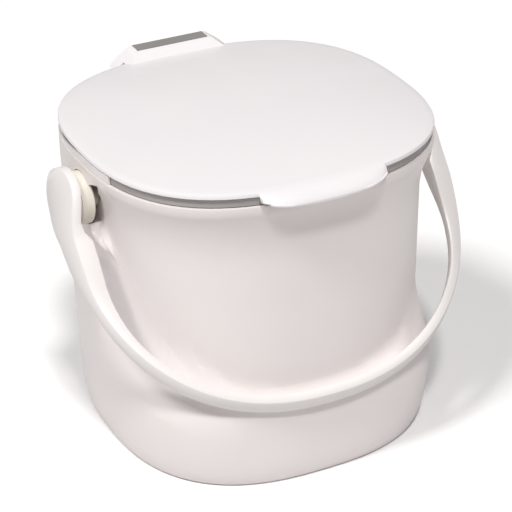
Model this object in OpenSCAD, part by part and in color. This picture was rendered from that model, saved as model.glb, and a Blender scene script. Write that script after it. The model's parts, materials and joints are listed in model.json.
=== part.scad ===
// Compost caddy: a squared-round bucket with a scooped front, a bail handle that
// rests in the scoop, and a domed lid hinged in a raised housing at the back.
// The origin is the middle of the foot. The front faces -Y.

/* [Bucket] */
// Half width of the bucket mouth and of the lid edge
mouth_a = 86; // [70:0.5:110]
// Half depth of the bucket mouth and of the lid edge
mouth_b = 82; // [66:0.5:105]
// Squareness of the rounded outline, 2 is an ellipse
squareness = 2.6; // [2.2:0.1:3.2]
// Height of the bucket rim
rim_z = 150; // [120:1:200]
// Thickness of the moulded wall
wall = 2.2; // [1.6:0.1:3.5]
// Thickness of the bucket floor
floor_t = 2.6; // [1.8:0.1:5]
// How much narrower each side is at the foot than at the mouth
taper = 5.6; // [0:0.2:10]
// Height of the rounded bottom edge
foot_round_z = 15; // [6:0.5:24]
// How far the rounded bottom edge pulls in
foot_round_x = 3.2; // [1:0.2:6]
// How far the lower body sits forward of the mouth
belly_forward = 2.4; // [0:0.2:4]

/* [Scoop] */
// Depth of the scooped front panel
scoop_depth = 5.9; // [3:0.1:8]
// Height over which the scoop fades out below the rim
scoop_fade = 22; // [10:1:30]
// Height of the cove between the resting ledge and the panel
cove = 8; // [4:0.5:14]
// Depth of the pocket round each pivot, from the mouth outline
pocket_depth = 11; // [9:0.1:14]
// Clearance between a bush sleeve and the straight front edge of its pocket
front_play = 0.4; // [0.2:0.1:3]
// Radial play of a bush in its pocket
pocket_play = 0.2; // [0.1:0.1:1.1]

/* [Handle] */
// Distance of the handle pivots below the rim
pivot_drop = 17.8; // [14:0.2:30]
// How far the resting grip stands out in front of the body
grip_out = 4.8; // [4:0.1:8]
// Reach of the bail from its pivots to the outside of the grip
bail_reach = 125; // [112:0.5:140]
// How far the bail stands out beyond the mouth at its widest
bail_out = 14.6; // [12:0.2:30]
// How far the outside of the end plates lies inside the widest point
hub_in = 3.9; // [1:0.1:6]
// Distance along the arm at which the bail is widest
bail_shoulder = 24.3; // [15:0.1:35]
// Squareness of the bail outline
bail_squareness = 2.25; // [2:0.05:3]
// Thickness of the strap
strap_t = 5.0; // [3.5:0.1:7]
// Width of the strap at the grip
grip_w = 8.9; // [7:0.1:14]
// Width of the strap at its narrowest, half way down the arm
strap_w = 7.6; // [6:0.1:12]
// Radius of the round end plates
plate_r = 16.2; // [14:0.1:18]
// Lean of the strap section at the grip
grip_lean = 16; // [0:1:22]

/* [Pivots] */
// Diameter of the spacer bushes
bush_d = 25.8; // [20:0.2:25.8]
// Thickness of the bush heads beside the end plates
bush_head_t = 6.3; // [3:0.1:8]
// Diameter of the pivot studs
stud_d = 8; // [5:0.1:12]
// Diameter of the stud heads inside the bucket
stud_head_d = 15; // [11:0.2:24]
// Thickness of the stud heads
stud_head_t = 2.2; // [1.4:0.1:3]
// Radial clearance of a stud in the bucket wall
stud_clearance = 0.08; // [0.03:0.01:0.1]

/* [Lid] */
// Height of the open line under the lid shell above the rim
lid_rise = 5; // [4:0.5:8]
// Height of the upright edge of the lid shell
lid_edge = 1.6; // [1:0.1:4]
// Rise of the domed top above its edge
crown = 6.4; // [2:0.2:12]
// Thickness of the lid shell
shell_t = 2; // [1.4:0.1:3]
// How far the grey band sits inside the lid edge
band_inset = 1.5; // [1.4:0.1:2.4]
// Height of the shadow gap between the band and the lid edge
shadow_gap = 0.9; // [0.4:0.1:1.2]
// Depth of the plug inside the bucket mouth
plug_depth = 3.2; // [2.4:0.1:3.4]
// Gap between the plug and the inside of the mouth
plug_gap = 0.6; // [0.4:0.05:1.2]
// Half width of the finger tab
tab_half = 34; // [24:0.5:42]
// Reach of the finger tab in front of the lid edge
tab_reach = 6.8; // [4:0.2:10]

/* [Hinge] */
// Distance of the hinge axis behind the mouth
hinge_back = 4; // [4:0.2:8]
// Height of the hinge axis above the lid line
hinge_rise = 1; // [0.8:0.1:1.6]
// Diameter of the hinge pin
pin_d = 3; // [2:0.1:3.6]
// Radial clearance of the knuckle on the pin
pin_clearance = 0.06; // [0.02:0.01:0.1]
// Half length of the knuckle between the cheeks
knuckle_half = 15.2; // [12:0.2:18]
// Thickness of each hinge cheek
cheek_t = 4; // [2.5:0.1:6]
// Radius of the cheeks and of the knuckle
barrel_r = 3.6; // [2.8:0.1:4]

/* [Hidden] */

white = [0.93, 0.92, 0.91];
cream = [0.90, 0.88, 0.80];
grey = [0.55, 0.55, 0.56];
steel = [0.70, 0.71, 0.73];

gap = 0.3;
fit = 0.02;
over = 0.6;

// ---------------------------------------------------------------- outlines
function bend(v, n) = (v < 0 ? -1 : 1) * pow(abs(v), 2 / n);
function ring_point(a, b, n, t) = [a * bend(cos(t), n), b * bend(sin(t), n)];
function outline(inset, angles) =
    [for (t = angles) ring_point(mouth_a - inset, mouth_b - inset, squareness, t)];
function edge_y(x) = -mouth_b * pow(1 - pow(abs(x) / mouth_a, squareness), 1 / squareness);
function clamp01(v) = min(1, max(0, v));

// Joins rings of equal length into one skin, ring by ring.
function skin(rings, count) =
    [for (r = [0:rings - 2], c = [0:count - 1])
        [(r + 1) * count + c, (r + 1) * count + (c + 1) % count,
         r * count + (c + 1) % count, r * count + c]];
function cap(first, count, flip = false) =
    flip ? [for (c = [count - 1:-1:0]) first + c] : [for (c = [0:count - 1]) first + c];

// One closed solid through a list of rings, with a flat face at each end.
module loft(rings) {
    count = len(rings[0]);
    polyhedron([for (ring = rings, p = ring) p],
               concat(skin(len(rings), count), [cap(0, count)],
                      [cap((len(rings) - 1) * count, count, true)]),
               convexity = 6);
}
// A profile drawn in Y and Z, carried from x0 to x1.
module across(x0, x1) {
    translate([x0, 0, 0]) rotate([90, 0, 90]) linear_extrude(x1 - x0) children();
}
// A round bar along X about a point of the YZ plane.
module bar(x0, x1, r, y, z) {
    translate([x0, y, z]) rotate([0, 90, 0]) cylinder(h = x1 - x0, r = r, $fn = 64);
}
module both_sides() {
    children();
    mirror([1, 0, 0]) children();
}
// A flat ring of the mouth outline between two insets.
module band(outer, inner, z0, z1, angles = body_t) {
    translate([0, 0, z0]) linear_extrude(z1 - z0) difference() {
        polygon(outline(outer, angles));
        polygon(outline(inner, angles));
    }
}

// ---------------------------------------------------------------- places
pivot_z = rim_z - pivot_drop;
lid_z = rim_z + lid_rise;
hinge_y = mouth_b + hinge_back;
bail_a = mouth_a + bail_out;
bail_hub_x = bail_a - hub_in;
pocket_r = bush_d / 2 + pocket_play;
sleeve_r = stud_d / 2 + 1.4;
pocket_front = sleeve_r + front_play;
// The bail rests where its grip stands clear in front, to the nearest half degree.
rest_angle = round(2 * acos((mouth_b + belly_forward + grip_out) / bail_reach)) / 2;

// ---------------------------------------------------------------- bucket form
shoulder_z = rim_z - 21;
scoop_top = rim_z - plug_depth - 0.4;
belly_square = 0.4;
grip_drop = grip_w / 2 * cos(grip_lean) + strap_t / 2 * sin(grip_lean) + gap;
cove_z = cove / cos(rest_angle);
foot_steps = 4;
foot_rim = 2.5;
foot_recess = 1;

// The brow over each pivot: its lower edge climbs forward to the rim.
brow_back = -7.5;
brow_front = -28;
brow_low = pivot_z + 8.8;
brow_lip = 0.6;

function body_a(z) = mouth_a - taper * clamp01((shoulder_z - z) / shoulder_z);
function body_shift(z) = -belly_forward * (1 - pow(clamp01(z / shoulder_z), 2));
function ledge_z(y) = pivot_z + (y * sin(rest_angle) - grip_drop) / cos(rest_angle);
function brow_z(y) =
    brow_low + (rim_z - brow_low) * clamp01((brow_back - y) / (brow_back - brow_front));
function in_brow(y) = y > brow_front - 0.2;
function scooped(y) = y < brow_back - 0.3;
function fade(z) = 1 - pow(clamp01((z - scoop_top + scoop_fade) / scoop_fade), 2);
function cove_depth(rise) = 1 - pow(1 - clamp01(rise / cove_z), 2.5);

// Angles of the columns: close together beside the pivots, even elsewhere.
side_y = [-28.7, -27.7, -23, -18, -13, -8.3, -7.3, 0, 8, 17, 26, 34];
function column_angle(y) = (y < 0 ? -1 : 1) * asin(pow(abs(y) / mouth_b, squareness / 2));
right_t = [for (y = side_y) column_angle(y)];
rear_steps = 20;
front_steps = 32;
last = len(side_y) - 1;
rear_t = [for (i = [1:rear_steps - 1])
    right_t[last] + (180 - 2 * right_t[last]) * i / rear_steps];
left_t = [for (i = [0:last]) 180 - right_t[last - i]];
front_t = [for (i = [1:front_steps - 1])
    180 - right_t[0] + (180 + 2 * right_t[0]) * i / front_steps];
body_t = concat(right_t, rear_t, left_t, front_t);
body_n = len(body_t);

function column_y(t) = (sin(t) < 0 ? mouth_b + belly_forward : mouth_b) * bend(sin(t), squareness);
function column_ledge(t) = min(ledge_z(column_y(t)), brow_low - 4);
function column_cove(t) = min(cove_z, 0.6 * (brow_z(column_y(t)) - column_ledge(t)));
function column_brow(t) =
    in_brow(column_y(t)) ? min(brow_z(column_y(t)), scoop_top) : scoop_top - 3;

// Height, scoop depth outside and scoop depth inside, for every row of one column.
function lower_rows(t) =
    concat([for (k = [0:foot_steps]) [foot_round_z * (1 - cos(90 * k / foot_steps)), 0]],
           [for (f = [0.33, 0.67, 1])
               [foot_round_z + (column_ledge(t) - foot_round_z) * f, 0]]);
function cove_rows(t) =
    [for (f = [0.08, 0.22, 0.42, 0.68, 1])
        [column_ledge(t) + column_cove(t) * f,
         scoop_depth * cove_depth(column_cove(t) * f) * fade(column_ledge(t) + column_cove(t) * f)]];
function panel_rows(t) =
    let (z0 = column_ledge(t) + column_cove(t), z1 = column_brow(t))
    [for (f = [0.3, 0.52, 0.7, 0.86, 1]) [z0 + (z1 - z0) * f, scoop_depth * fade(z0 + (z1 - z0) * f)]];
function brow_rows(t) =
    let (z = column_brow(t) + brow_lip, open = in_brow(column_y(t)) ? 0 : 1)
    [[z, open * scoop_depth * fade(z), scoop_depth * fade(z)],
     [(z + rim_z) / 2, open * scoop_depth * fade((z + rim_z) / 2)],
     [rim_z, 0]];
function column_rows(t) =
    let (live = scooped(column_y(t)) ? 1 : 0, live_inside = column_y(t) < brow_back + 0.4 ? 1 : 0)
    [for (r = concat(lower_rows(t), cove_rows(t), panel_rows(t), brow_rows(t)))
        [r[0], r[1] * live, (len(r) > 2 ? r[2] : r[1]) * live_inside]];
body_rows = [for (t = body_t) column_rows(t)];
body_levels = len(body_rows[0]);

function foot_pull(z) =
    z >= foot_round_z ? 0 : foot_round_x * (1 - sqrt(1 - pow(1 - z / foot_round_z, 2)));
function front_square(z, depth) =
    squareness + belly_square * clamp01(z / 30) * (1 - depth / scoop_depth) * clamp01((shoulder_z - z) / 40);
function body_point(t, z, depth, inward) =
    let (n = sin(t) < 0 ? front_square(z, depth) : squareness,
         in = depth + inward + foot_pull(z),
         p = ring_point(body_a(z) - in, mouth_b - in, n, t))
    [p[0], p[1] + body_shift(z)];
function inner_z(z) = z >= foot_round_z ? z : floor_t + z * (1 - floor_t / foot_round_z);

function outer_ring(r) =
    [for (c = [0:body_n - 1])
        let (row = body_rows[c][r], p = body_point(body_t[c], row[0], row[1], 0))
        [p[0], p[1], row[0]]];
function inner_ring(r) =
    [for (c = [0:body_n - 1])
        let (row = body_rows[c][r], p = body_point(body_t[c], row[0], row[2], wall))
        [p[0], p[1], inner_z(row[0])]];
function foot_ring(inward, z) =
    [for (t = body_t) let (p = body_point(t, 0, 0, inward)) [p[0], p[1], z]];

module bucket_shell() {
    loft(concat([foot_ring(foot_rim + 1.5, foot_recess)], [foot_ring(foot_rim, 0)],
                [for (r = [0:body_levels - 1]) outer_ring(r)],
                [for (r = [body_levels - 1:-1:0]) inner_ring(r)]));
}

// ---------------------------------------------------------------- bucket
pocket_x = mouth_a - pocket_depth;
boss_x = pocket_x - wall;
boss_r = pocket_r + wall;
wall_skin = 1.5;
ear_top = lid_z - 0.4;
even_t = [for (i = [0:95]) 3.75 * i];
ear_thick = band_inset - gap;

module ear() {
    intersection() {
        band(0.15, ear_thick, rim_z - 3, ear_top, even_t);
        across(mouth_a / 2, mouth_a)
            polygon([[brow_front, rim_z - 2.8], [brow_front, ear_top + over],
                     [brow_back, ear_top + over], [side_y[last], rim_z + 0.2],
                     [side_y[last], rim_z - 2.8]]);
    }
}
// The deep part of the pocket: round behind, with a straight front edge and a
// corner that runs up under the brow. Drawn about the pivot, in Y and Z.
pocket_turn = rest_angle - 8.3;
brow_slope = (rim_z - brow_low) / (brow_back - brow_front);
brow_rise = brow_low - pivot_z;
shelf_x = mouth_a - scoop_depth - 0.2;
function pocket_corner_y(front) =
    -(front + sin(pocket_turn) * (brow_rise + brow_slope * brow_back)) /
    (cos(pocket_turn) - brow_slope * sin(pocket_turn));
module pocket_form(pad) {
    front = pocket_front + pad;
    edge = front + over;
    corner_y = pocket_corner_y(edge);
    intersection() {
        union() {
            circle(r = pocket_r + pad, $fn = 64);
            polygon([[0, 0], [-edge * cos(pocket_turn), -edge * sin(pocket_turn)],
                     [corner_y, brow_rise + brow_slope * (brow_back - corner_y) - gap + pad],
                     [brow_back, brow_rise - gap + pad]]);
        }
        rotate(180 + pocket_turn) translate([-mouth_b, -mouth_b]) square([mouth_b + front, 2 * mouth_b]);
    }
}
module pivot_boss() {
    intersection() {
        union() {
            translate([0, 0, pivot_z]) across(boss_x, shelf_x - wall_skin) pocket_form(wall);
            intersection() {
                bar(pocket_x, mouth_a - wall_skin, boss_r + gap, 0, pivot_z);
                translate([0, brow_back + 1, 0]) cube([mouth_a, mouth_b, rim_z]);
            }
        }
        translate([0, -mouth_b, 0]) cube([mouth_a, 2 * mouth_b, scoop_top]);
    }
}
module pivot_pocket() {
    bar(shelf_x, mouth_a + over, pocket_r + gap, 0, pivot_z);
    translate([0, 0, pivot_z]) across(pocket_x, mouth_a + over) pocket_form(0);
    bar(boss_x - over, pocket_x + over, stud_d / 2 + stud_clearance, 0, pivot_z);
}

hinge_z = lid_z + hinge_rise;
cheek_x = knuckle_half + gap;
cheek_out = cheek_x + cheek_t;
module hinge_cheek() {
    bar(cheek_x, cheek_out, barrel_r, hinge_y, hinge_z);
    across(cheek_x, cheek_out)
        polygon([[mouth_b - wall + 0.3, rim_z - 0.6], [mouth_b - wall + 0.3, rim_z - 13],
                 [mouth_b + 0.4, rim_z - 10], [hinge_y + 0.3 * barrel_r, hinge_z - 0.9 * barrel_r],
                 [hinge_y, hinge_z], [hinge_y - 0.9 * barrel_r, hinge_z - 0.3 * barrel_r]]);
}
module bucket() {
    color(white) difference() {
        union() {
            bucket_shell();
            both_sides() ear();
            both_sides() pivot_boss();
            both_sides() hinge_cheek();
        }
        both_sides() pivot_pocket();
        bar(-cheek_out - over, cheek_out + over, pin_d / 2 + fit, hinge_y, hinge_z);
    }
}

// ---------------------------------------------------------------- handle
// Drawn level, reaching along -Y from the pivots, then folded down to rest.
arm_b = bail_reach - bail_shoulder;
hub_slope = 2 * (bail_a - bail_hub_x) / bail_shoulder;
hub_lean = 6;
plate_flat = 5;
arm_round = 1.6;
waist_s = 56;
neck_s = 24;
neck_w = 16;
plate_steps = 6;
hub_steps = 5;
arm_steps = 26;

function lerp(a, b, f) = a + (b - a) * clamp01(f);
function ease(f) = clamp01(f) * clamp01(f) * (3 - 2 * clamp01(f));
function bail_width(s) =
    s < 0 ? 2 * sqrt(max(0, plate_r * plate_r - s * s)) :
    s < neck_s ? lerp(2 * plate_r, neck_w, ease(s / neck_s)) :
    s < waist_s ? lerp(neck_w, strap_w, ease((s - neck_s) / (waist_s - neck_s))) :
    lerp(strap_w, grip_w, (s - waist_s) / (bail_reach - waist_s));
function bail_lean(s) = lerp(hub_lean, grip_lean, s / bail_reach);
function swell_x(s) = bail_a - (bail_a - bail_hub_x) * pow((bail_shoulder - s) / bail_shoulder, 2);
function swell_grade(s) = hub_slope * (bail_shoulder - s) / bail_shoulder;
function hub_x(s) =
    s > plate_flat ? swell_x(s) :
    swell_x(plate_flat) - swell_grade(plate_flat) * plate_flat * (1 - pow(clamp01(0.5 + s / plate_flat / 2), 2));
function hub_grade(s) =
    s > plate_flat ? swell_grade(s) : swell_grade(plate_flat) * clamp01(0.5 + s / plate_flat / 2);
function unit(v) = v / norm(v);

// Each station: its place on the outer outline and the outward direction, in X and reach.
hub_stations = concat(
    [for (i = [1:plate_steps]) let (s = -plate_r * cos(90 * (i - 0.4) / plate_steps))
        [[hub_x(s), s], unit([1, -hub_grade(s)])]],
    [for (i = [0:hub_steps - 1]) let (s = bail_shoulder * i / hub_steps)
        [[hub_x(s), s], unit([1, -hub_grade(s)])]]);
arm_stations = [for (i = [0:arm_steps])
    let (t = 90 * i / arm_steps, x = bail_a * bend(cos(t), bail_squareness),
         r = arm_b * bend(sin(t), bail_squareness))
    [[x, bail_shoulder + r],
     unit([pow(x / bail_a, bail_squareness - 1) / bail_a, pow(r / arm_b, bail_squareness - 1) / arm_b])]];
half_stations = concat(hub_stations, arm_stations);
half_n = len(half_stations);
bail_stations = concat(half_stations,
    [for (i = [half_n - 2:-1:0]) let (h = half_stations[i])
        [[-h[0][0], h[0][1]], [-h[1][0], h[1][1]]]]);

// Rounded strap section: depth below the outer face, and place across the width.
function strap_section(w) =
    let (r = min(arm_round, w / 2 - 0.1))
    [for (q = [0:3], a = [0:45:90])
        let (turn = 180 + 90 * q + a, dx = q == 0 || q == 3 ? r : strap_t - r, dw = q < 2 ? r - w / 2 : w / 2 - r)
        [dx + r * cos(turn), dw + r * sin(turn)]];
function bail_ring(station) =
    let (p = station[0], out = station[1], w = bail_width(p[1]), lean = tan(bail_lean(p[1])))
    [for (q = strap_section(w))
        let (m = -q[0] + lean * q[1])
        [p[0] + out[0] * m, -(p[1] + out[1] * m), -q[1]]];

hub_face = bail_hub_x - strap_t - 1.2;
bush_gap = 0.2;
stud_tip = bail_hub_x - 3.5;
module handle_place() {
    translate([0, 0, pivot_z]) rotate([rest_angle, 0, 0]) children();
}
module handle_bail() {
    color(white) handle_place() difference() {
        union() {
            difference() {
                loft([for (s = bail_stations) bail_ring(s)]);
                both_sides() bar(pocket_x, hub_face + bush_gap, bush_d / 2 + bush_gap, 0, 0);
            }
            both_sides() bar(hub_face, bail_hub_x - 2.6, bush_d / 2 - 1.4, 0, 0);
        }
        both_sides() bar(hub_face - over, stud_tip + gap, stud_d / 2 + fit, 0, 0);
    }
}
module spacer_bush() {
    color(cream) difference() {
        union() {
            bar(pocket_x + gap, hub_face, sleeve_r, 0, pivot_z);
            bar(hub_face - bush_head_t + over, hub_face, bush_d / 2, 0, pivot_z);
            bar(hub_face - bush_head_t, hub_face - 1, bush_d / 2 - over, 0, pivot_z);
        }
        bar(pocket_x, hub_face + over, stud_d / 2 + fit, 0, pivot_z);
    }
}
module pivot_stud() {
    color(steel) {
        bar(boss_x - gap - fit, stud_tip, stud_d / 2, 0, pivot_z);
        bar(boss_x - gap - stud_head_t, boss_x - gap, stud_head_d / 2, 0, pivot_z);
    }
}
module right_spacer_bush() { spacer_bush(); }
module left_spacer_bush() { mirror([1, 0, 0]) spacer_bush(); }
module right_pivot_stud() { pivot_stud(); }
module left_pivot_stud() { mirror([1, 0, 0]) pivot_stud(); }

// ---------------------------------------------------------------- lid
edge_top = lid_z + lid_edge;
dome_base = edge_top + 0.6;
lid_count = 80;
dome_rho = [0.985, 0.955, 0.9, 0.82, 0.7, 0.55, 0.38, 0.2, 0.05];
function dome_z(rho) = dome_base + crown * (1 - pow(rho, 2.2));
function rho_at(x, y) =
    pow(pow(abs(x) / mouth_a, squareness) + pow(abs(y) / mouth_b, squareness), 1 / squareness);
function lid_ring(inset, z) =
    [for (i = [0:lid_count - 1])
        let (p = ring_point(mouth_a - inset, mouth_b - inset, squareness, 360 * i / lid_count))
        [p[0], p[1], z]];
function dome_ring(rho, drop) =
    [for (i = [0:lid_count - 1])
        let (p = ring_point(mouth_a * rho, mouth_b * rho, squareness, 360 * i / lid_count))
        [p[0], p[1], dome_z(rho) - drop]];
module dome() {
    levels = len(dome_rho);
    loft(concat([for (i = [levels - 1:-1:2]) dome_ring(dome_rho[i], shell_t)],
                [lid_ring(shell_t, lid_z + 0.7), lid_ring(shell_t, lid_z),
                 lid_ring(0.25, lid_z), lid_ring(0, lid_z + 0.3), lid_ring(0, edge_top - 0.2),
                 lid_ring(0.3, edge_top + 0.4)],
                [for (rho = dome_rho) dome_ring(rho, 0)]));
}

// The housing over the hinge, raised from the dome and open to the rear.
housing_half = cheek_out + 1;
housing_top = hinge_z + barrel_r + 2.1;
housing_t = 1.6;
housing_rear = hinge_y + barrel_r + 1.4;
module housing_side(inset) {
    polygon([[mouth_b - 9 + 5 * inset, dome_base - 0.4], [mouth_b - 5 + 2 * inset, dome_base + 1.5 - inset],
             [mouth_b - 2.5 + inset, dome_base + 2.5 - inset], [mouth_b - 0.5 + inset, dome_base + 3.7 - inset],
             [mouth_b + 1.5 + inset, housing_top - 0.2 - inset], [mouth_b + 2.5 + inset, housing_top - inset],
             [housing_rear - 1.5 - inset, housing_top - inset], [housing_rear - inset, housing_top - 1.5 - inset],
             [housing_rear - inset, hinge_z + 2], [housing_rear + 2 * inset, hinge_z + 2],
             [housing_rear + 2 * inset, lid_z - 2.5 - inset], [hinge_y - inset, lid_z - 2.5 - inset],
             [mouth_b + 0.7 - inset, lid_z + 0.2], [mouth_b + 0.7 - inset, dome_base - 0.4]]);
}
module housing_rear_view(inset) {
    half = [[housing_half, housing_top], [housing_half + 1.1, housing_top - 0.5],
            [housing_half + 2.5, housing_top - 1.7], [housing_half + 4.5, housing_top - 3.2],
            [housing_half + 6.9, housing_top - 4.8], [housing_half + 9.3, housing_top - 6.7],
            [housing_half + 11.6, lid_z - 2.5]];
    polygon(concat([for (p = half) [p[0] - inset, p[1] - 0.6 * inset]],
                   [[half[6][0] - inset, lid_z - 4], [-half[6][0] + inset, lid_z - 4]],
                   [for (i = [6:-1:0]) [-half[i][0] + inset, half[i][1] - 0.6 * inset]]));
}
module housing_form(inset) {
    intersection() {
        across(-mouth_a / 2, mouth_a / 2) housing_side(inset);
        translate([0, mouth_b + 20, 0]) rotate([90, 0, 0])
            linear_extrude(50) housing_rear_view(inset);
    }
}
inlay_half = housing_half - 0.9;
inlay_front = hinge_y - 3.1;
inlay_rear = hinge_y + 4;
module housing() {
    difference() {
        housing_form(0);
        housing_form(housing_t);
        translate([-inlay_half - fit, inlay_front - fit, housing_top - 2 * housing_t])
            cube([2 * (inlay_half + fit), inlay_rear - inlay_front + 2 * fit, 3 * housing_t]);
    }
}

// The finger tab: a visor that curves down over the band at the front.
tab_steps = 12;
tab_turn = 70;
tab_square = 2.8;
tab_crease = mouth_b - 6.8;
lip_low = lid_z - 5.4;
lip_rise = 2.2;
lip_t = 2.4;
function tab_front(x) =
    -mouth_b + 6 - (tab_reach + 6) * pow(1 - pow(abs(x) / (tab_half + 0.2), tab_square), 1 / tab_square);
function tab_section(x) =
    let (front = tab_front(x), edge = edge_y(x), out = edge - front,
         low = lip_low + lip_rise * pow(x / tab_half, 2), top = edge_top + 0.55,
         fall = top - low - 1.4, back = min(front + lip_t, edge + 0.4),
         crease = dome_z(rho_at(x, tab_crease)))
    concat([[-tab_crease, crease - 1.2], [-tab_crease, crease - 0.15],
            [edge + 3.2, lerp(crease, top, 0.62)], [edge, top]],
           [for (a = [20:15:80]) [edge - out * sin(a), top - fall * (1 - cos(a))]],
           [[front, low + 1.2], [front + 0.4, low + 0.3], [front + 1, low],
            [back - 0.5, low], [back, low + 0.5]],
           [for (a = [72:-18:18])
               [back + (edge + 0.9 - back) * (1 - sin(a)),
                low + 0.6 + (lid_z - low - 0.9) * cos(a)]],
           [[edge + 0.9, lid_z - 0.2], [edge + 0.9, lid_z + 0.5]]);
tab_end = tab_half * sin(tab_turn);
tab_tip = [tab_end + 0.4, edge_y(tab_end) - 1, lid_z + 0.8];
module half_tab() {
    rings = [for (i = [0:tab_steps]) let (x = tab_half * sin(tab_turn * i / tab_steps))
        [for (p = tab_section(x)) [x, p[0], p[1]]]];
    count = len(rings[0]);
    tip = count * len(rings);
    polyhedron(concat([for (ring = rings, p = ring) p], [tab_tip]),
               concat(skin(len(rings), count), [cap(0, count)],
                      [for (c = [0:count - 1])
                          [tip - count + (c + 1) % count, tip - count + c, tip]]),
               convexity = 6);
}
module finger_tab() {
    both_sides() half_tab();
}
module lid_shell() {
    color(white) union() {
        dome();
        housing();
        finger_tab();
    }
}

band_low = rim_z + 0.5;
band_top = lid_z - shadow_gap;
plate_t = 2;
plug_in = wall + plug_gap;
seal_h = 1.4;
seal_z = rim_z - plug_depth + 0.7;
seal_depth = 1.4;
module lid_liner() {
    color(grey) union() {
        band(band_inset, band_inset + 2.4, band_low, band_top);
        band(shell_t + 1.2, shell_t + 3, band_low + 0.2, lid_z + 0.45);
        translate([0, 0, band_low]) linear_extrude(plate_t) polygon(outline(band_inset + 2, body_t));
        difference() {
            band(plug_in, plug_in + 3, rim_z - plug_depth, band_low + 1);
            band(plug_in - over, plug_in + seal_depth, seal_z, seal_z + seal_h);
        }
    }
}
module lid_seal() {
    color(grey) band(wall + gap, plug_in + seal_depth - fit, seal_z + fit, seal_z + seal_h - fit);
}

// ---------------------------------------------------------------- hinge
module hinge_knuckle() {
    color(grey) difference() {
        union() {
            bar(-knuckle_half, knuckle_half, barrel_r, hinge_y, hinge_z);
            translate([-knuckle_half, inlay_front + 1.2, hinge_z])
                cube([2 * knuckle_half, 4, housing_top - hinge_z - 1]);
            translate([-inlay_half, inlay_front, housing_top - housing_t])
                cube([2 * inlay_half, inlay_rear - inlay_front, housing_t + 0.1]);
        }
        bar(-knuckle_half - over, knuckle_half + over, pin_d / 2 + pin_clearance, hinge_y, hinge_z);
    }
}
module hinge_pin() {
    color(steel) bar(-cheek_out, cheek_out, pin_d / 2, hinge_y, hinge_z);
}

bucket();
handle_bail();
left_spacer_bush();
right_spacer_bush();
left_pivot_stud();
right_pivot_stud();
lid_shell();
lid_liner();
lid_seal();
hinge_knuckle();
hinge_pin();
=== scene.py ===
"""Compost caddy with a scooped front, a folding bail handle and a hinged lid."""
import json
import logging
import math
from dataclasses import dataclass, field
from enum import Enum

import bmesh
import bpy
from mathutils import Matrix, Vector


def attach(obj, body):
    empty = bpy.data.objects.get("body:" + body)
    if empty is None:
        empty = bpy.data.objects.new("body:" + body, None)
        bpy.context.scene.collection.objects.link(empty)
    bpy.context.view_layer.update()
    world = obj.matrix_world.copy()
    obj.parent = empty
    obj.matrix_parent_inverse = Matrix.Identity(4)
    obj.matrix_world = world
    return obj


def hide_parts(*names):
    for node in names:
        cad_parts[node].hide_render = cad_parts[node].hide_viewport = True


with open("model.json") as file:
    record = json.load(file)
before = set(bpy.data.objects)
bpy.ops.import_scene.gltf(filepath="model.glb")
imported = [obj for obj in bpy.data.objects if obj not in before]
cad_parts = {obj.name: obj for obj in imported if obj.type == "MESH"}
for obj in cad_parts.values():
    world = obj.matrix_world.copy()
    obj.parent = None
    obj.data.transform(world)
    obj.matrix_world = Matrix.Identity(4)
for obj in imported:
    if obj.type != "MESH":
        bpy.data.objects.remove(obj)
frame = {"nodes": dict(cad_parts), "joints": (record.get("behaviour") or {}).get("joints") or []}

log = logging.getLogger("compost_caddy")
MM = 0.001
WELD = 1e-6
NOISE_LOW, NOISE_HIGH = 0.3, 0.7
MIX_FIRST, MIX_SECOND, MIX_COLOUR = 6, 7, 2
Colour = tuple[float, float, float]


def linear(red: int, green: int, blue: int) -> Colour:
    """Turns a display colour into scene values.

    Args:
        red: Red as it is seen, 0 to 255.
        green: Green as it is seen, 0 to 255.
        blue: Blue as it is seen, 0 to 255.

    Returns:
        The colour as linear values from 0 to 1.
    """
    shares = [value / 255 for value in (red, green, blue)]
    return tuple(s / 12.92 if s <= 0.04045 else ((s + 0.055) / 1.055) ** 2.4 for s in shares)


class Body(Enum):
    """The moving bodies of the caddy."""

    BIN = "bin"
    HANDLE = "handle"
    LID = "lid"


class NodeSheet:
    """A short way to write a shader node tree."""

    def __init__(self, tree: bpy.types.NodeTree) -> None:
        """Starts from an empty tree."""
        self.tree = tree
        tree.nodes.clear()

    def add(self, kind: str, **settings: object) -> bpy.types.Node:
        """Adds a node and sets its properties.

        Args:
            kind: The node's type name without the ShaderNode prefix.
            settings: Property names and values.

        Returns:
            The new node.
        """
        prefix = "" if kind.startswith("NodeGroup") else "ShaderNode"
        node = self.tree.nodes.new(prefix + kind)
        for name, value in settings.items():
            setattr(node, name, value)
        return node

    def join(self, source: bpy.types.Node, output: str | int,
             target: bpy.types.Node, entry: str | int) -> None:
        """Links an output socket to an input socket.

        Args:
            source: The node that gives the value.
            output: Its output, by name or number.
            target: The node that takes it.
            entry: Its input, by name or number.
        """
        self.tree.links.new(source.outputs[output], target.inputs[entry])

    def noise(self, place: bpy.types.Node, scale: float, detail: float) -> bpy.types.Node:
        """Adds a noise texture that reads object coordinates.

        Args:
            place: The coordinate node.
            scale: Waves per metre.
            detail: Octaves of the noise.

        Returns:
            The noise node.
        """
        node = self.add("TexNoise", noise_dimensions="3D")
        node.inputs["Scale"].default_value = scale
        node.inputs["Detail"].default_value = detail
        self.join(place, "Object", node, "Vector")
        return node

    def spread(self, source: bpy.types.Node, output: str | int, low: float, high: float) -> bpy.types.Node:
        """Maps the range in which a noise mostly lies onto another range.

        Args:
            source: The node that gives the value.
            output: Its output.
            low: The value at the low end.
            high: The value at the high end.

        Returns:
            The Map Range node.
        """
        node = self.add("MapRange", clamp=True)
        node.inputs["From Min"].default_value = NOISE_LOW
        node.inputs["From Max"].default_value = NOISE_HIGH
        node.inputs["To Min"].default_value = low
        node.inputs["To Max"].default_value = high
        self.join(source, output, node, "Value")
        return node


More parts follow.
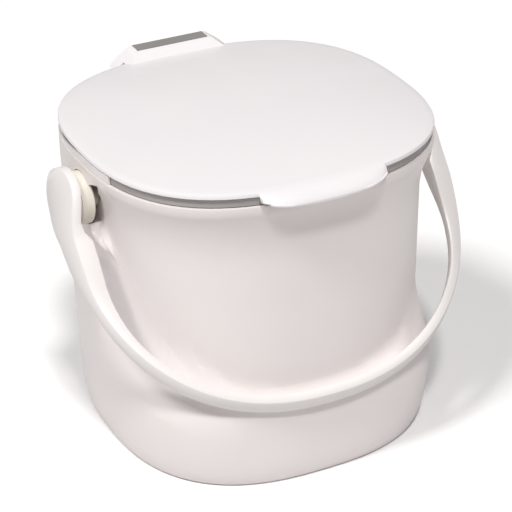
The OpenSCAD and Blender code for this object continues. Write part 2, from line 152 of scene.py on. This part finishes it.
class MouldedSkin:
    """The shared effect of an injection-moulded skin: faint flow marks, gloss patches and a fine grain."""

    NAME = "moulded skin"
    FLOW_SCALE = 14.0
    FLOW_DETAIL = 3.0
    FLOW_DISTORTION = 0.6
    PATCH_SCALE = 55.0
    PATCH_DETAIL = 4.0
    GRAIN_DETAIL = 2.0

    @classmethod
    def group(cls) -> bpy.types.NodeTree:
        """Builds the node group once.

        Returns:
            The node group, with sockets for two colours, roughness and grain.
        """
        if cls.NAME in bpy.data.node_groups:
            return bpy.data.node_groups[cls.NAME]
        tree = bpy.data.node_groups.new(cls.NAME, "ShaderNodeTree")
        sheet = NodeSheet(tree)
        for name, kind, value in (
            ("Colour", "NodeSocketColor", (0.8, 0.8, 0.8, 1.0)),
            ("Flow colour", "NodeSocketColor", (0.75, 0.75, 0.75, 1.0)),
            ("Roughness", "NodeSocketFloat", 0.4),
            ("Roughness spread", "NodeSocketFloat", 0.05),
            ("Grain scale", "NodeSocketFloat", 1200.0),
        ):
            socket = tree.interface.new_socket(name, in_out="INPUT", socket_type=kind)
            socket.default_value = value
        for name, kind in (
            ("Colour", "NodeSocketColor"),
            ("Roughness", "NodeSocketFloat"),
            ("Height", "NodeSocketFloat"),
        ):
            tree.interface.new_socket(name, in_out="OUTPUT", socket_type=kind)
        entry = sheet.add("NodeGroupInput")
        leave = sheet.add("NodeGroupOutput")
        place = sheet.add("TexCoord")
        flow = sheet.noise(place, cls.FLOW_SCALE, cls.FLOW_DETAIL)
        flow.inputs["Distortion"].default_value = cls.FLOW_DISTORTION
        share = sheet.spread(flow, "Fac", 0.0, 1.0)
        mix = sheet.add("Mix", data_type="RGBA")
        sheet.join(share, "Result", mix, "Factor")
        sheet.join(entry, "Colour", mix, MIX_FIRST)
        sheet.join(entry, "Flow colour", mix, MIX_SECOND)
        sheet.join(mix, MIX_COLOUR, leave, "Colour")
        patches = sheet.noise(place, cls.PATCH_SCALE, cls.PATCH_DETAIL)
        centred = sheet.spread(patches, "Fac", -1.0, 1.0)
        swing = sheet.add("Math", operation="MULTIPLY_ADD")
        sheet.join(centred, "Result", swing, 0)
        sheet.join(entry, "Roughness spread", swing, 1)
        sheet.join(entry, "Roughness", swing, 2)
        sheet.join(swing, 0, leave, "Roughness")
        grain = sheet.add("TexNoise", noise_dimensions="3D")
        grain.inputs["Detail"].default_value = cls.GRAIN_DETAIL
        sheet.join(place, "Object", grain, "Vector")
        sheet.join(entry, "Grain scale", grain, "Scale")
        sheet.join(grain, "Fac", leave, "Height")
        return tree


@dataclass(frozen=True)
class MouldedPlastic:
    """A moulded plastic finish."""

    name: str
    colour: Colour
    flow_colour: Colour
    roughness: float = 0.38
    roughness_spread: float = 0.05
    grain_scale: float = 1200.0
    grain_depth: float = 0.05
    grain_height: float = 0.0004
    specular: float = 0.5

    def material(self) -> bpy.types.Material:
        """Builds the finish once.

        Returns:
            Its material.
        """
        if self.name in bpy.data.materials:
            return bpy.data.materials[self.name]
        material = bpy.data.materials.new(self.name)
        material.use_nodes = True
        sheet = NodeSheet(material.node_tree)
        skin = sheet.add("Group", node_tree=MouldedSkin.group())
        skin.inputs["Colour"].default_value = (*self.colour, 1.0)
        skin.inputs["Flow colour"].default_value = (*self.flow_colour, 1.0)
        skin.inputs["Roughness"].default_value = self.roughness
        skin.inputs["Roughness spread"].default_value = self.roughness_spread
        skin.inputs["Grain scale"].default_value = self.grain_scale
        shader = sheet.add("BsdfPrincipled")
        shader.inputs["Specular IOR Level"].default_value = self.specular
        bump = sheet.add("Bump")
        bump.inputs["Strength"].default_value = self.grain_depth
        bump.inputs["Distance"].default_value = self.grain_height
        leave = sheet.add("OutputMaterial")
        sheet.join(skin, "Colour", shader, "Base Color")
        sheet.join(skin, "Roughness", shader, "Roughness")
        sheet.join(skin, "Height", bump, "Height")
        sheet.join(bump, "Normal", shader, "Normal")
        sheet.join(shader, "BSDF", leave, "Surface")
        return material


@dataclass(frozen=True)
class DrawnSteel:
    """Stainless wire and turned heads, with fine drawn lines along X."""

    name: str = "drawn steel"
    colour: Colour = (0.56, 0.56, 0.58)
    roughness: float = 0.28
    line_scale: float = 900.0
    line_stretch: float = 0.05
    line_detail: float = 3.0
    gloss_spread: tuple[float, float] = (-0.08, 0.1)
    dark_share: float = 0.82
    line_depth: float = 0.15
    line_height: float = 0.0002

    def material(self) -> bpy.types.Material:
        """Builds the finish once.

        Returns:
            Its material.
        """
        if self.name in bpy.data.materials:
            return bpy.data.materials[self.name]
        material = bpy.data.materials.new(self.name)
        material.use_nodes = True
        sheet = NodeSheet(material.node_tree)
        place = sheet.add("TexCoord")
        stretch = sheet.add("Mapping")
        stretch.inputs["Scale"].default_value = (self.line_stretch, 1.0, 1.0)
        lines = sheet.add("TexNoise", noise_dimensions="3D")
        lines.inputs["Scale"].default_value = self.line_scale
        lines.inputs["Detail"].default_value = self.line_detail
        sheet.join(place, "Object", stretch, "Vector")
        sheet.join(stretch, "Vector", lines, "Vector")
        gloss = sheet.spread(lines, "Fac", *(self.roughness + more for more in self.gloss_spread))
        ramp = sheet.add("ValToRGB")
        ramp.color_ramp.elements[0].color = (*[self.dark_share * c for c in self.colour], 1.0)
        ramp.color_ramp.elements[1].color = (*self.colour, 1.0)
        shader = sheet.add("BsdfPrincipled")
        shader.inputs["Metallic"].default_value = 1.0
        bump = sheet.add("Bump")
        bump.inputs["Strength"].default_value = self.line_depth
        bump.inputs["Distance"].default_value = self.line_height
        leave = sheet.add("OutputMaterial")
        sheet.join(lines, "Fac", ramp, "Fac")
        sheet.join(ramp, "Color", shader, "Base Color")
        sheet.join(gloss, "Result", shader, "Roughness")
        sheet.join(lines, "Fac", bump, "Height")
        sheet.join(bump, "Normal", shader, "Normal")
        sheet.join(shader, "BSDF", leave, "Surface")
        return material


def plastic(name: str, seen: tuple[int, int, int], flow: tuple[int, int, int],
            roughness: float) -> MouldedPlastic:
    """Names a moulded plastic by its display colours.

    Args:
        name: The material's name.
        seen: Its colour as it is seen, 0 to 255.
        flow: The colour of its faint flow marks, 0 to 255.
        roughness: Its mean roughness.

    Returns:
        The finish.
    """
    return MouldedPlastic(name, linear(*seen), linear(*flow), roughness=roughness)


WHITE_BODY = plastic("white body plastic", (238, 232, 230), (235, 229, 228), 0.36)
WHITE_LID = plastic("white lid plastic", (240, 237, 238), (238, 235, 237), 0.33)
WHITE_HANDLE = plastic("white handle plastic", (238, 234, 232), (235, 231, 229), 0.4)
CREAM_BUSH = plastic("natural bush plastic", (229, 225, 214), (224, 219, 206), 0.45)
GREY_LINER = plastic("grey liner plastic", (172, 168, 166), (164, 160, 158), 0.42)
DARK_INLAY = plastic("dark inlay plastic", (150, 147, 145), (140, 137, 135), 0.30)
SOFT_SEAL = plastic("soft seal", (120, 121, 124), (112, 113, 116), 0.6)
STEEL = DrawnSteel()


def clamp(share: float) -> float:
    """Returns a share held between 0 and 1."""
    return min(1.0, max(0.0, share))


def ease(share: float) -> float:
    """Returns a share from 0 to 1 with a soft start and a soft end."""
    held = clamp(share)
    return held * held * (3.0 - 2.0 * held)


def joint_height(name: str) -> float:
    """Returns the height of a joint's axis in millimetres."""
    return next(joint["pos_m"][2] for joint in frame["joints"] if joint["name"] == name) / MM


@dataclass(frozen=True)
class SquaredEllipse:
    """A level outline about the caddy's axis, in millimetres."""

    half_width: float
    half_depth: float
    square: float

    def front_y(self, x: float) -> float:
        """Returns the place of its front at a width."""
        return -self.half_depth * (1.0 - (abs(x) / self.half_width) ** self.square) ** (1.0 / self.square)


MOUTH = SquaredEllipse(86.0, 82.0, 2.6)
PIVOT_Z = joint_height("handle_swing")


class Reshape:
    """A change of form that a piece takes after it is copied from its solid."""

    def apply(self, work: bmesh.types.BMesh) -> None:
        """Changes the mesh in place.

        Args:
            work: The piece's mesh, in metres.
        """
        raise NotImplementedError


@dataclass(frozen=True)
class ScoopedFlanks(Reshape):
    """The scoop runs on round the flanks of the bucket and fades out low on its sides."""

    depth: float = 5.9
    low_z: float = 30.0
    high_z: float = 74.0
    top_z: float = 117.0
    front_y: float = -86.0
    flank_y: float = -74.0
    side_y: float = -9.0
    rear_y: float = 4.0
    pocket_reach: float = 20.0
    pocket_fade: float = 16.0
    wall: float = 2.2
    shoulder: float = 129.0
    taper: float = 5.6
    belly_forward: float = 2.4
    belly_square: float = 0.4
    belly_fade: float = 40.0
    row_step: float = 7.0
    least_depth: float = 0.01
    least_overhang: float = 1.0005

    def flank(self, y: float, z: float) -> float:
        """Returns how deep the flank lies inside the full outline.

        Args:
            y: The place along the side.
            z: The height.
        """
        upward = ease((z - self.low_z) / (self.high_z - self.low_z))
        along = ease((y - self.front_y) / (self.flank_y - self.front_y))
        ahead = 1.0 - ease((y - self.side_y) / (self.rear_y - self.side_y))
        clear = ease((math.hypot(y, z - PIVOT_Z) - self.pocket_reach) / self.pocket_fade)
        return self.depth * upward * along * ahead * clear

    def overhang(self, x: float, y: float, z: float, inside: float) -> float:
        """Compares a point with the wanted outline at its height.

        Args:
            x: The point's place across.
            y: The point's place along.
            z: The point's height.
            inside: How far inside the outer skin the outline lies.

        Returns:
            1 on the outline and more outside it.
        """
        below = self.shoulder - z
        depth = self.flank(y, z)
        power = MOUTH.square
        if y < 0.0:
            power += self.belly_square * (1.0 - depth / self.depth) * clamp(below / self.belly_fade)
        centre = -self.belly_forward * (1.0 - min(1.0, z / self.shoulder) ** 2)
        wide = abs(x) / (MOUTH.half_width - self.taper * clamp(below / self.shoulder) - depth - inside)
        deep = abs(y - centre) / (MOUTH.half_depth - depth - inside)
        return (wide ** power + deep ** power) ** (1.0 / power)

    def cut_rows(self, work: bmesh.types.BMesh) -> None:
        """Cuts level rows into the wall, so that it can curve."""
        height = self.low_z + self.row_step
        while height < self.top_z:
            bmesh.ops.bisect_plane(work, geom=work.verts[:] + work.edges[:] + work.faces[:], dist=WELD,
                                   plane_co=(0.0, 0.0, height * MM), plane_no=(0.0, 0.0, 1.0))
            height += self.row_step

    def apply(self, work: bmesh.types.BMesh) -> None:
        """Draws the flanks in to the wanted outline."""
        self.cut_rows(work)
        work.normal_update()
        moves = []
        for vert in work.verts:
            x, y, z = (c / MM for c in vert.co)
            if not self.low_z <= z <= self.top_z or y > self.rear_y or self.flank(y, z) < self.least_depth:
                continue
            outward = vert.normal.x * x + vert.normal.y * y > 0.0
            over = self.overhang(x, y, z, 0.0 if outward else self.wall)
            if over > self.least_overhang:
                moves.append((vert, over))
        for vert, over in moves:
            vert.co.x /= over
            vert.co.y /= over


@dataclass(frozen=True)
class FullArms(Reshape):
    """The bail is thicker on its inner side where its arms leave the hubs."""

    rest_deg: float = 44.5
    widest: float = 100.6
    hub_narrower: float = 3.9
    hub_reach: float = 24.3
    full_reach: float = 125.0
    square: float = 2.25
    outer_skin: float = 1.8
    skin_blend: float = 1.8
    more: float = 4.6
    start: float = 17.0
    blend: float = 7.0
    thickest: float = 30.0
    end: float = 84.0

    def outline(self, reach: float) -> float:
        """Returns the half width of the bail at a reach from its pivots."""
        if reach < self.hub_reach:
            return self.widest - self.hub_narrower * ((self.hub_reach - reach) / self.hub_reach) ** 2
        share = min(1.0, (reach - self.hub_reach) / (self.full_reach - self.hub_reach))
        return self.widest * (1.0 - share ** self.square) ** (1.0 / self.square)

    def swell(self, reach: float) -> float:
        """Returns how much thicker the arm is at a reach from its pivots."""
        fade = 1.0 - ease((reach - self.thickest) / (self.end - self.thickest))
        return self.more * ease((reach - self.start) / self.blend) * fade

    def apply(self, work: bmesh.types.BMesh) -> None:
        """Draws the inner face of each arm towards the bucket."""
        turn = math.radians(self.rest_deg)
        for vert in work.verts:
            y, z = vert.co.y / MM, vert.co.z / MM - PIVOT_Z
            reach = -(y * math.cos(turn) + z * math.sin(turn))
            if reach < self.start or reach > self.end:
                continue
            depth = self.outline(reach) - abs(vert.co.x) / MM
            inward = ease((depth - self.outer_skin) / self.skin_blend)
            vert.co.x -= math.copysign(inward * self.swell(reach) * MM, vert.co.x)


@dataclass(frozen=True)
class CreasedTab(Reshape):
    """The finger tab has a flat sloping face between a crease and a small rolled lip."""

    half: float = 34.0
    reach: float = 6.8
    root: float = 6.0
    end_play: float = 0.2
    square: float = 2.8
    edge_play: float = 0.1
    edge_top: float = 157.15
    under_line: float = 154.5
    lid_line: float = 155.0
    lip_low: float = 149.6
    low_play: float = 0.5
    lip_rise: float = 2.2
    lip_thick: float = 1.4
    lip_from: float = 0.72
    skin_depth: float = 0.9
    face_fall: float = 4.3
    least_reach: float = 0.5
    sweep: float = 9.0
    sweep_share: float = 0.55

    def front_y(self, x: float) -> float:
        """Returns the place of the tab's front at a width."""
        share = min(1.0, abs(x) / (self.half + self.end_play))
        bend = (1.0 - share ** self.square) ** (1.0 / self.square)
        return -MOUTH.half_depth + self.root - (self.reach + self.root) * bend

    def apply(self, work: bmesh.types.BMesh) -> None:
        """Flattens the upper face, tightens the lip and sweeps the ends up."""
        for vert in work.verts:
            x, y, z = (c / MM for c in vert.co)
            if abs(x) > self.half:
                continue
            edge = MOUTH.front_y(x)
            if y > edge - self.edge_play or z < self.lip_low - self.low_play:
                continue
            share = min(1.0, (edge - y) / max(self.least_reach, edge - self.front_y(x)))
            lip_top = self.lip_low + self.lip_rise * (x / self.half) ** 2 + self.lip_thick
            skin = self.edge_top - (self.edge_top - lip_top) * (1.0 - math.sqrt(1.0 - share ** 2))
            if z > skin - self.skin_depth and share < 1.0:
                flat = self.edge_top - self.face_fall * share
                roll = self.lip_thick * max(0.0, (share - self.lip_from) / (1.0 - self.lip_from)) ** 2
                vert.co.z = max(flat - roll, lip_top) * MM
            if z < self.under_line:
                lift = ease((abs(x) - (self.half - self.sweep)) / self.sweep)
                vert.co.z += lift * self.sweep_share * (self.lid_line - z) * MM


@dataclass(frozen=True)
class Moulding:
    """One piece of the caddy, drawn from its solid with even shading."""

    node: str
    body: Body
    finish: MouldedPlastic | DrawnSteel
    reshape: Reshape | None = None
    crease_deg: float = 32.0

    def shade(self, work: bmesh.types.BMesh) -> None:
        """Smooths the faces and keeps the edges sharper than the crease angle."""
        for face in work.faces:
            face.smooth = True
        limit = math.radians(self.crease_deg)
        for edge in work.edges:
            edge.smooth = len(edge.link_faces) == 2 and edge.calc_face_angle(0.0) < limit

    def build(self) -> None:
        """Makes the visible piece, on its body and in place of its solid."""
        mesh = frame["nodes"][self.node].data.copy()
        work = bmesh.new()
        work.from_mesh(mesh)
        bmesh.ops.remove_doubles(work, verts=work.verts, dist=WELD)
        bmesh.ops.dissolve_degenerate(work, edges=work.edges, dist=WELD)
        if self.reshape:
            self.reshape.apply(work)
        self.shade(work)
        work.to_mesh(mesh)
        work.free()
        piece = bpy.data.objects.new(self.node + "_piece", mesh)
        bpy.context.scene.collection.objects.link(piece)
        mesh.materials.clear()
        mesh.materials.append(self.finish.material())
        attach(piece, self.body.value)
        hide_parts(self.node)
        log.info("%s: %d faces on %s", piece.name, len(mesh.polygons), self.body.value)


class Assembly:
    """Pieces that ride on one body."""

    def pieces(self) -> tuple[Moulding, ...]:
        """Returns the pieces in their order."""
        raise NotImplementedError

    def build(self) -> None:
        """Builds every piece."""
        for piece in self.pieces():
            piece.build()
        log.info("%s built", type(self).__name__)


class Bucket(Assembly):
    """The bucket with its hinge pin."""

    def pieces(self) -> tuple[Moulding, ...]:
        """Returns the shell and the pin."""
        return (
            Moulding("bucket", Body.BIN, WHITE_BODY, ScoopedFlanks()),
            Moulding("hinge_pin", Body.BIN, STEEL),
        )


class Handle(Assembly):
    """The bail with a bush and a stud at each end."""

    def pieces(self) -> tuple[Moulding, ...]:
        """Returns the bail and both ends."""
        ends = []
        for side in ("left", "right"):
            ends.append(Moulding(f"{side}_spacer_bush", Body.HANDLE, CREAM_BUSH))
            ends.append(Moulding(f"{side}_pivot_stud", Body.HANDLE, STEEL))
        return (Moulding("handle_bail", Body.HANDLE, WHITE_HANDLE, FullArms()), *ends)


class Lid(Assembly):
    """The lid shell with its liner, seal and hinge knuckle."""

    def pieces(self) -> tuple[Moulding, ...]:
        """Returns the four pieces."""
        return (
            Moulding("lid_shell", Body.LID, WHITE_LID, CreasedTab()),
            Moulding("lid_liner", Body.LID, GREY_LINER),
            Moulding("lid_seal", Body.LID, SOFT_SEAL),
            Moulding("hinge_knuckle", Body.LID, DARK_INLAY),
        )


@dataclass(frozen=True)
class Lamp:
    """A far lamp, whose light is the same all over the floor.

    Attributes:
        name: The lamp's name.
        turn: Its azimuth in degrees, 0 in front of the caddy and positive to its right.
        rise: Its height above the horizon in degrees.
        share: The light on a surface that faces it, where 1 shows a colour as written.
        softness: The lamp's apparent width in degrees.
        tint: Its colour.
    """

    name: str
    turn: float
    rise: float
    share: float
    softness: float
    tint: Colour

    def build(self) -> None:
        """Hangs the lamp."""
        data = bpy.data.lights.new(self.name, "SUN")
        data.angle = math.radians(self.softness)
        data.energy = self.share * math.pi
        data.color = self.tint
        lamp = bpy.data.objects.new(self.name, data)
        bpy.context.scene.collection.objects.link(lamp)
        lamp.rotation_euler = (math.radians(90.0 - self.rise), 0.0, math.radians(self.turn))


@dataclass(frozen=True)
class Studio:
    """The floor, the lamps and the camera."""

    azimuth: float = -25.917
    elevation: float = 28.446
    roll: float = -0.919
    distance: float = 1.1013
    target: Vector = field(default_factory=lambda: Vector((0.0, 0.0, 0.08415)))
    focal_px: float = 2221.2
    offset_px: tuple[float, float] = (-9.006, -10.196)
    frame_px: float = 512.0
    sensor_mm: float = 36.0
    near_clip: float = 0.05
    floor_half: float = 6.0
    floor_scale: float = 3.0
    floor_detail: float = 2.0
    floor_tones: tuple[float, float] = (0.95, 0.97)
    floor_unseen: Colour = (0.74, 0.73, 0.73)
    room_tint: Colour = (1.0, 0.99, 0.99)
    room_strength: float = 0.2
    lamps: tuple[Lamp, ...] = (
        Lamp("front lamp", -18.0, 60.0, 0.55, 8.0, (1.0, 0.985, 0.975)),
        Lamp("side lamp", -74.0, 57.0, 0.48, 12.0, (1.0, 0.99, 0.985)),
    )

    def camera(self) -> None:
        """Places the camera."""
        turn, rise, roll = (math.radians(a) for a in (self.azimuth, self.elevation, self.roll))
        back = Vector((math.sin(turn) * math.cos(rise), -math.cos(turn) * math.cos(rise), math.sin(rise)))
        level = (-back).cross(Vector((0.0, 0.0, 1.0))).normalized()
        upright = level.cross(-back)
        right = level * math.cos(roll) + upright * math.sin(roll)
        above = upright * math.cos(roll) - level * math.sin(roll)
        data = bpy.data.cameras.new("camera")
        data.sensor_width = self.sensor_mm
        data.lens = self.focal_px / self.frame_px * self.sensor_mm
        data.shift_x = -self.offset_px[0] / self.frame_px
        data.shift_y = self.offset_px[1] / self.frame_px
        data.clip_start = self.near_clip
        camera = bpy.data.objects.new("camera", data)
        bpy.context.scene.collection.objects.link(camera)
        axes = Matrix((right, above, back)).transposed().to_4x4()
        camera.matrix_world = Matrix.Translation(self.target + back * self.distance) @ axes
        bpy.context.scene.camera = camera

    def floor(self) -> None:
        """Lays a plain pale floor that keeps the shadow."""
        work = bmesh.new()
        bmesh.ops.create_grid(work, x_segments=1, y_segments=1, size=self.floor_half)
        mesh = bpy.data.meshes.new("floor")
        work.to_mesh(mesh)
        work.free()
        floor = bpy.data.objects.new("floor", mesh)
        bpy.context.scene.collection.objects.link(floor)
        material = bpy.data.materials.new("pale floor")
        material.use_nodes = True
        sheet = NodeSheet(material.node_tree)
        place = sheet.add("TexCoord")
        tone = sheet.noise(place, self.floor_scale, self.floor_detail)
        ramp = sheet.add("ValToRGB")
        for stop, grey in zip(ramp.color_ramp.elements, self.floor_tones):
            stop.color = (grey, grey, grey, 1.0)
        seen = sheet.add("BsdfDiffuse")
        unseen = sheet.add("BsdfDiffuse")
        unseen.inputs["Color"].default_value = (*self.floor_unseen, 1.0)
        path = sheet.add("LightPath")
        mix = sheet.add("MixShader")
        leave = sheet.add("OutputMaterial")
        sheet.join(tone, "Fac", ramp, "Fac")
        sheet.join(ramp, "Color", seen, "Color")
        sheet.join(path, "Is Camera Ray", mix, 0)
        sheet.join(unseen, "BSDF", mix, 1)
        sheet.join(seen, "BSDF", mix, 2)
        sheet.join(mix, 0, leave, "Surface")
        mesh.materials.append(material)

    def world(self) -> None:
        """Fills the room with an even pale light, white to the camera."""
        world = bpy.data.worlds.new("room")
        bpy.context.scene.world = world
        world.use_nodes = True
        sheet = NodeSheet(world.node_tree)
        path = sheet.add("LightPath")
        room = sheet.add("Background")
        room.inputs["Color"].default_value = (*self.room_tint, 1.0)
        room.inputs["Strength"].default_value = self.room_strength
        seen = sheet.add("Background")
        seen.inputs["Strength"].default_value = 1.0
        mix = sheet.add("MixShader")
        leave = sheet.add("OutputWorld")
        sheet.join(path, "Is Camera Ray", mix, 0)
        sheet.join(room, 0, mix, 1)
        sheet.join(seen, 0, mix, 2)
        sheet.join(mix, 0, leave, "Surface")

    def build(self) -> None:
        """Builds the whole studio."""
        self.camera()
        self.floor()
        self.world()
        for lamp in self.lamps:
            lamp.build()
        bpy.context.scene.view_settings.view_transform = "Standard"


def main() -> None:
    """Builds the studio and the caddy in order."""
    logging.basicConfig(level=logging.INFO, format="%(name)s %(message)s")
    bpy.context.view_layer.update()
    Studio().build()
    for part in (Bucket(), Handle(), Lid()):
        part.build()


if __name__ == "__main__":
    main()
